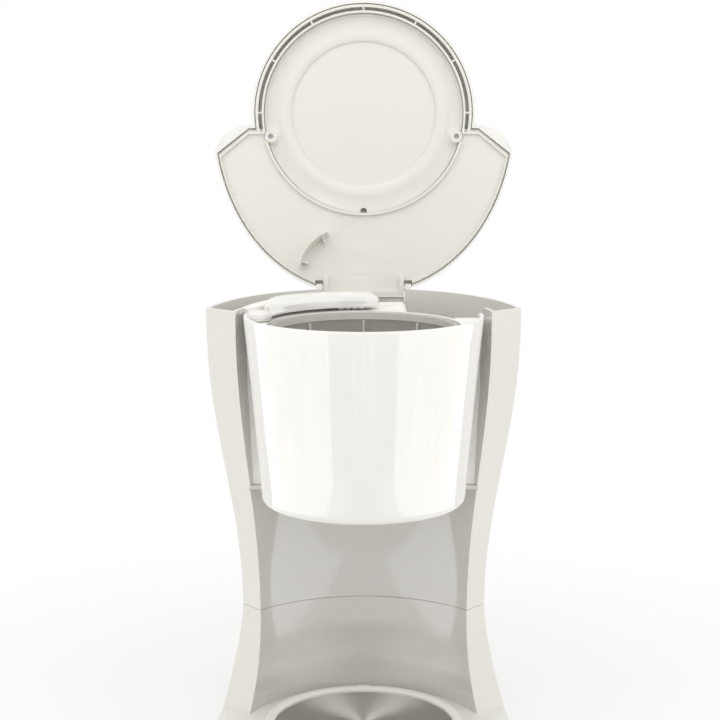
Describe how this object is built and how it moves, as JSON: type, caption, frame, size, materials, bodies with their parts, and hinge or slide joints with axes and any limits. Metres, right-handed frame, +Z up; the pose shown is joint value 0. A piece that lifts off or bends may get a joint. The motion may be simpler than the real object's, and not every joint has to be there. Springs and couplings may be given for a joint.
{
  "type": "drip coffee maker",
  "caption": "Drip coffee maker with an hourglass housing, a round front shell over a lift-out filter basket, a swivelling spout arm, a hot plate and a lid that swings up and back.",
  "frame": {"origin": "middle of the footprint of the machine with its lid open, on the worktop", "axes": "+Z up, +Y towards the rear, +X to the right as seen from the front"},
  "size_m": [0.2172, 0.2609, 0.522],
  "materials": {
    "cream_plastic": "satin",
    "white_plastic": "gloss",
    "lid_plastic": "satin",
    "inner_plastic": "satin",
    "clear_window": "clear",
    "plate_coating": "satin",
    "aluminium": "satin",
    "steel": "satin",
    "dark_plastic": "satin",
    "switch_plastic": "gloss",
    "rubber": "matt",
    "hose_rubber": "satin",
    "fuse_sleeve": "matt"
  },
  "bodies": {
    "housing": {"upper_housing": "cream_plastic", "lower_housing": "cream_plastic", "base_plate": "cream_plastic", "rubber_feet": "rubber", "base_screws": "steel", "front_shell": "white_plastic", "well_tub": "white_plastic", "level_window": "clear_window", "hot_plate": "plate_coating", "hot_plate_ring": "cream_plastic", "heating_element": "aluminium", "heater_clamp": "steel", "heater_screws": "steel", "thermostat": "dark_plastic", "thermal_fuse": "fuse_sleeve", "cold_hose": "hose_rubber", "check_valve_body": "white_plastic", "tank_strainer": "white_plastic", "hot_hose": "hose_rubber", "riser_tube": "inner_plastic", "switch_bezel": "switch_plastic", "switch_body": "dark_plastic", "terminal_block": "inner_plastic", "cord_gland": "rubber"},
    "lid": {"lid_cover": "white_plastic", "lid_frame": "lid_plastic", "lid_disc": "lid_plastic", "lid_screws": "steel"},
    "arm": {"spout_arm_cover": "white_plastic", "spout_arm_base": "white_plastic"},
    "basket": {"filter_basket": "inner_plastic", "drip_stop_spring": "steel"},
    "plunger": {"drip_stop_plunger": "white_plastic", "drip_stop_seal": "rubber"},
    "rocker": {"switch_rocker": "switch_plastic"},
    "ball": {"check_valve_ball": "steel"}
  },
  "joints": [
    {"name": "lid_hinge", "type": "hinge", "parent": "housing", "child": "lid", "pos_m": [0, 0.08197, 0.3152], "axis": [-1, 0, 0], "range_deg": [-99, 0]},
    {"name": "arm_swing", "type": "hinge", "parent": "housing", "child": "arm", "pos_m": [-0.07, -0.02903, 0.31], "axis": [0, 0, 1], "range_deg": [-60, 0]},
    {"name": "basket_lift", "type": "slide", "parent": "housing", "child": "basket", "axis": [0, 0, 1], "range_m": [0, 0.15]},
    {"name": "drip_stop", "type": "slide", "parent": "basket", "child": "plunger", "axis": [0, 0, 1], "range_m": [0, 0.0035], "stiffness_N_per_m": 300, "springref_m": -0.002, "deforming": ["drip_stop_spring"]},
    {"name": "power_switch", "type": "hinge", "parent": "housing", "child": "rocker", "pos_m": [0, -0.12743, 0.016], "axis": [1, 0, 0], "range_deg": [0, 14]},
    {"name": "valve_lift", "type": "slide", "parent": "housing", "child": "ball", "axis": [0, 0, 1], "range_m": [0, 0.003]}
  ],
  "couplings": [
    {"joint": "arm_swing", "follows": "lid_hinge", "ratio": 0.606}
  ]
}
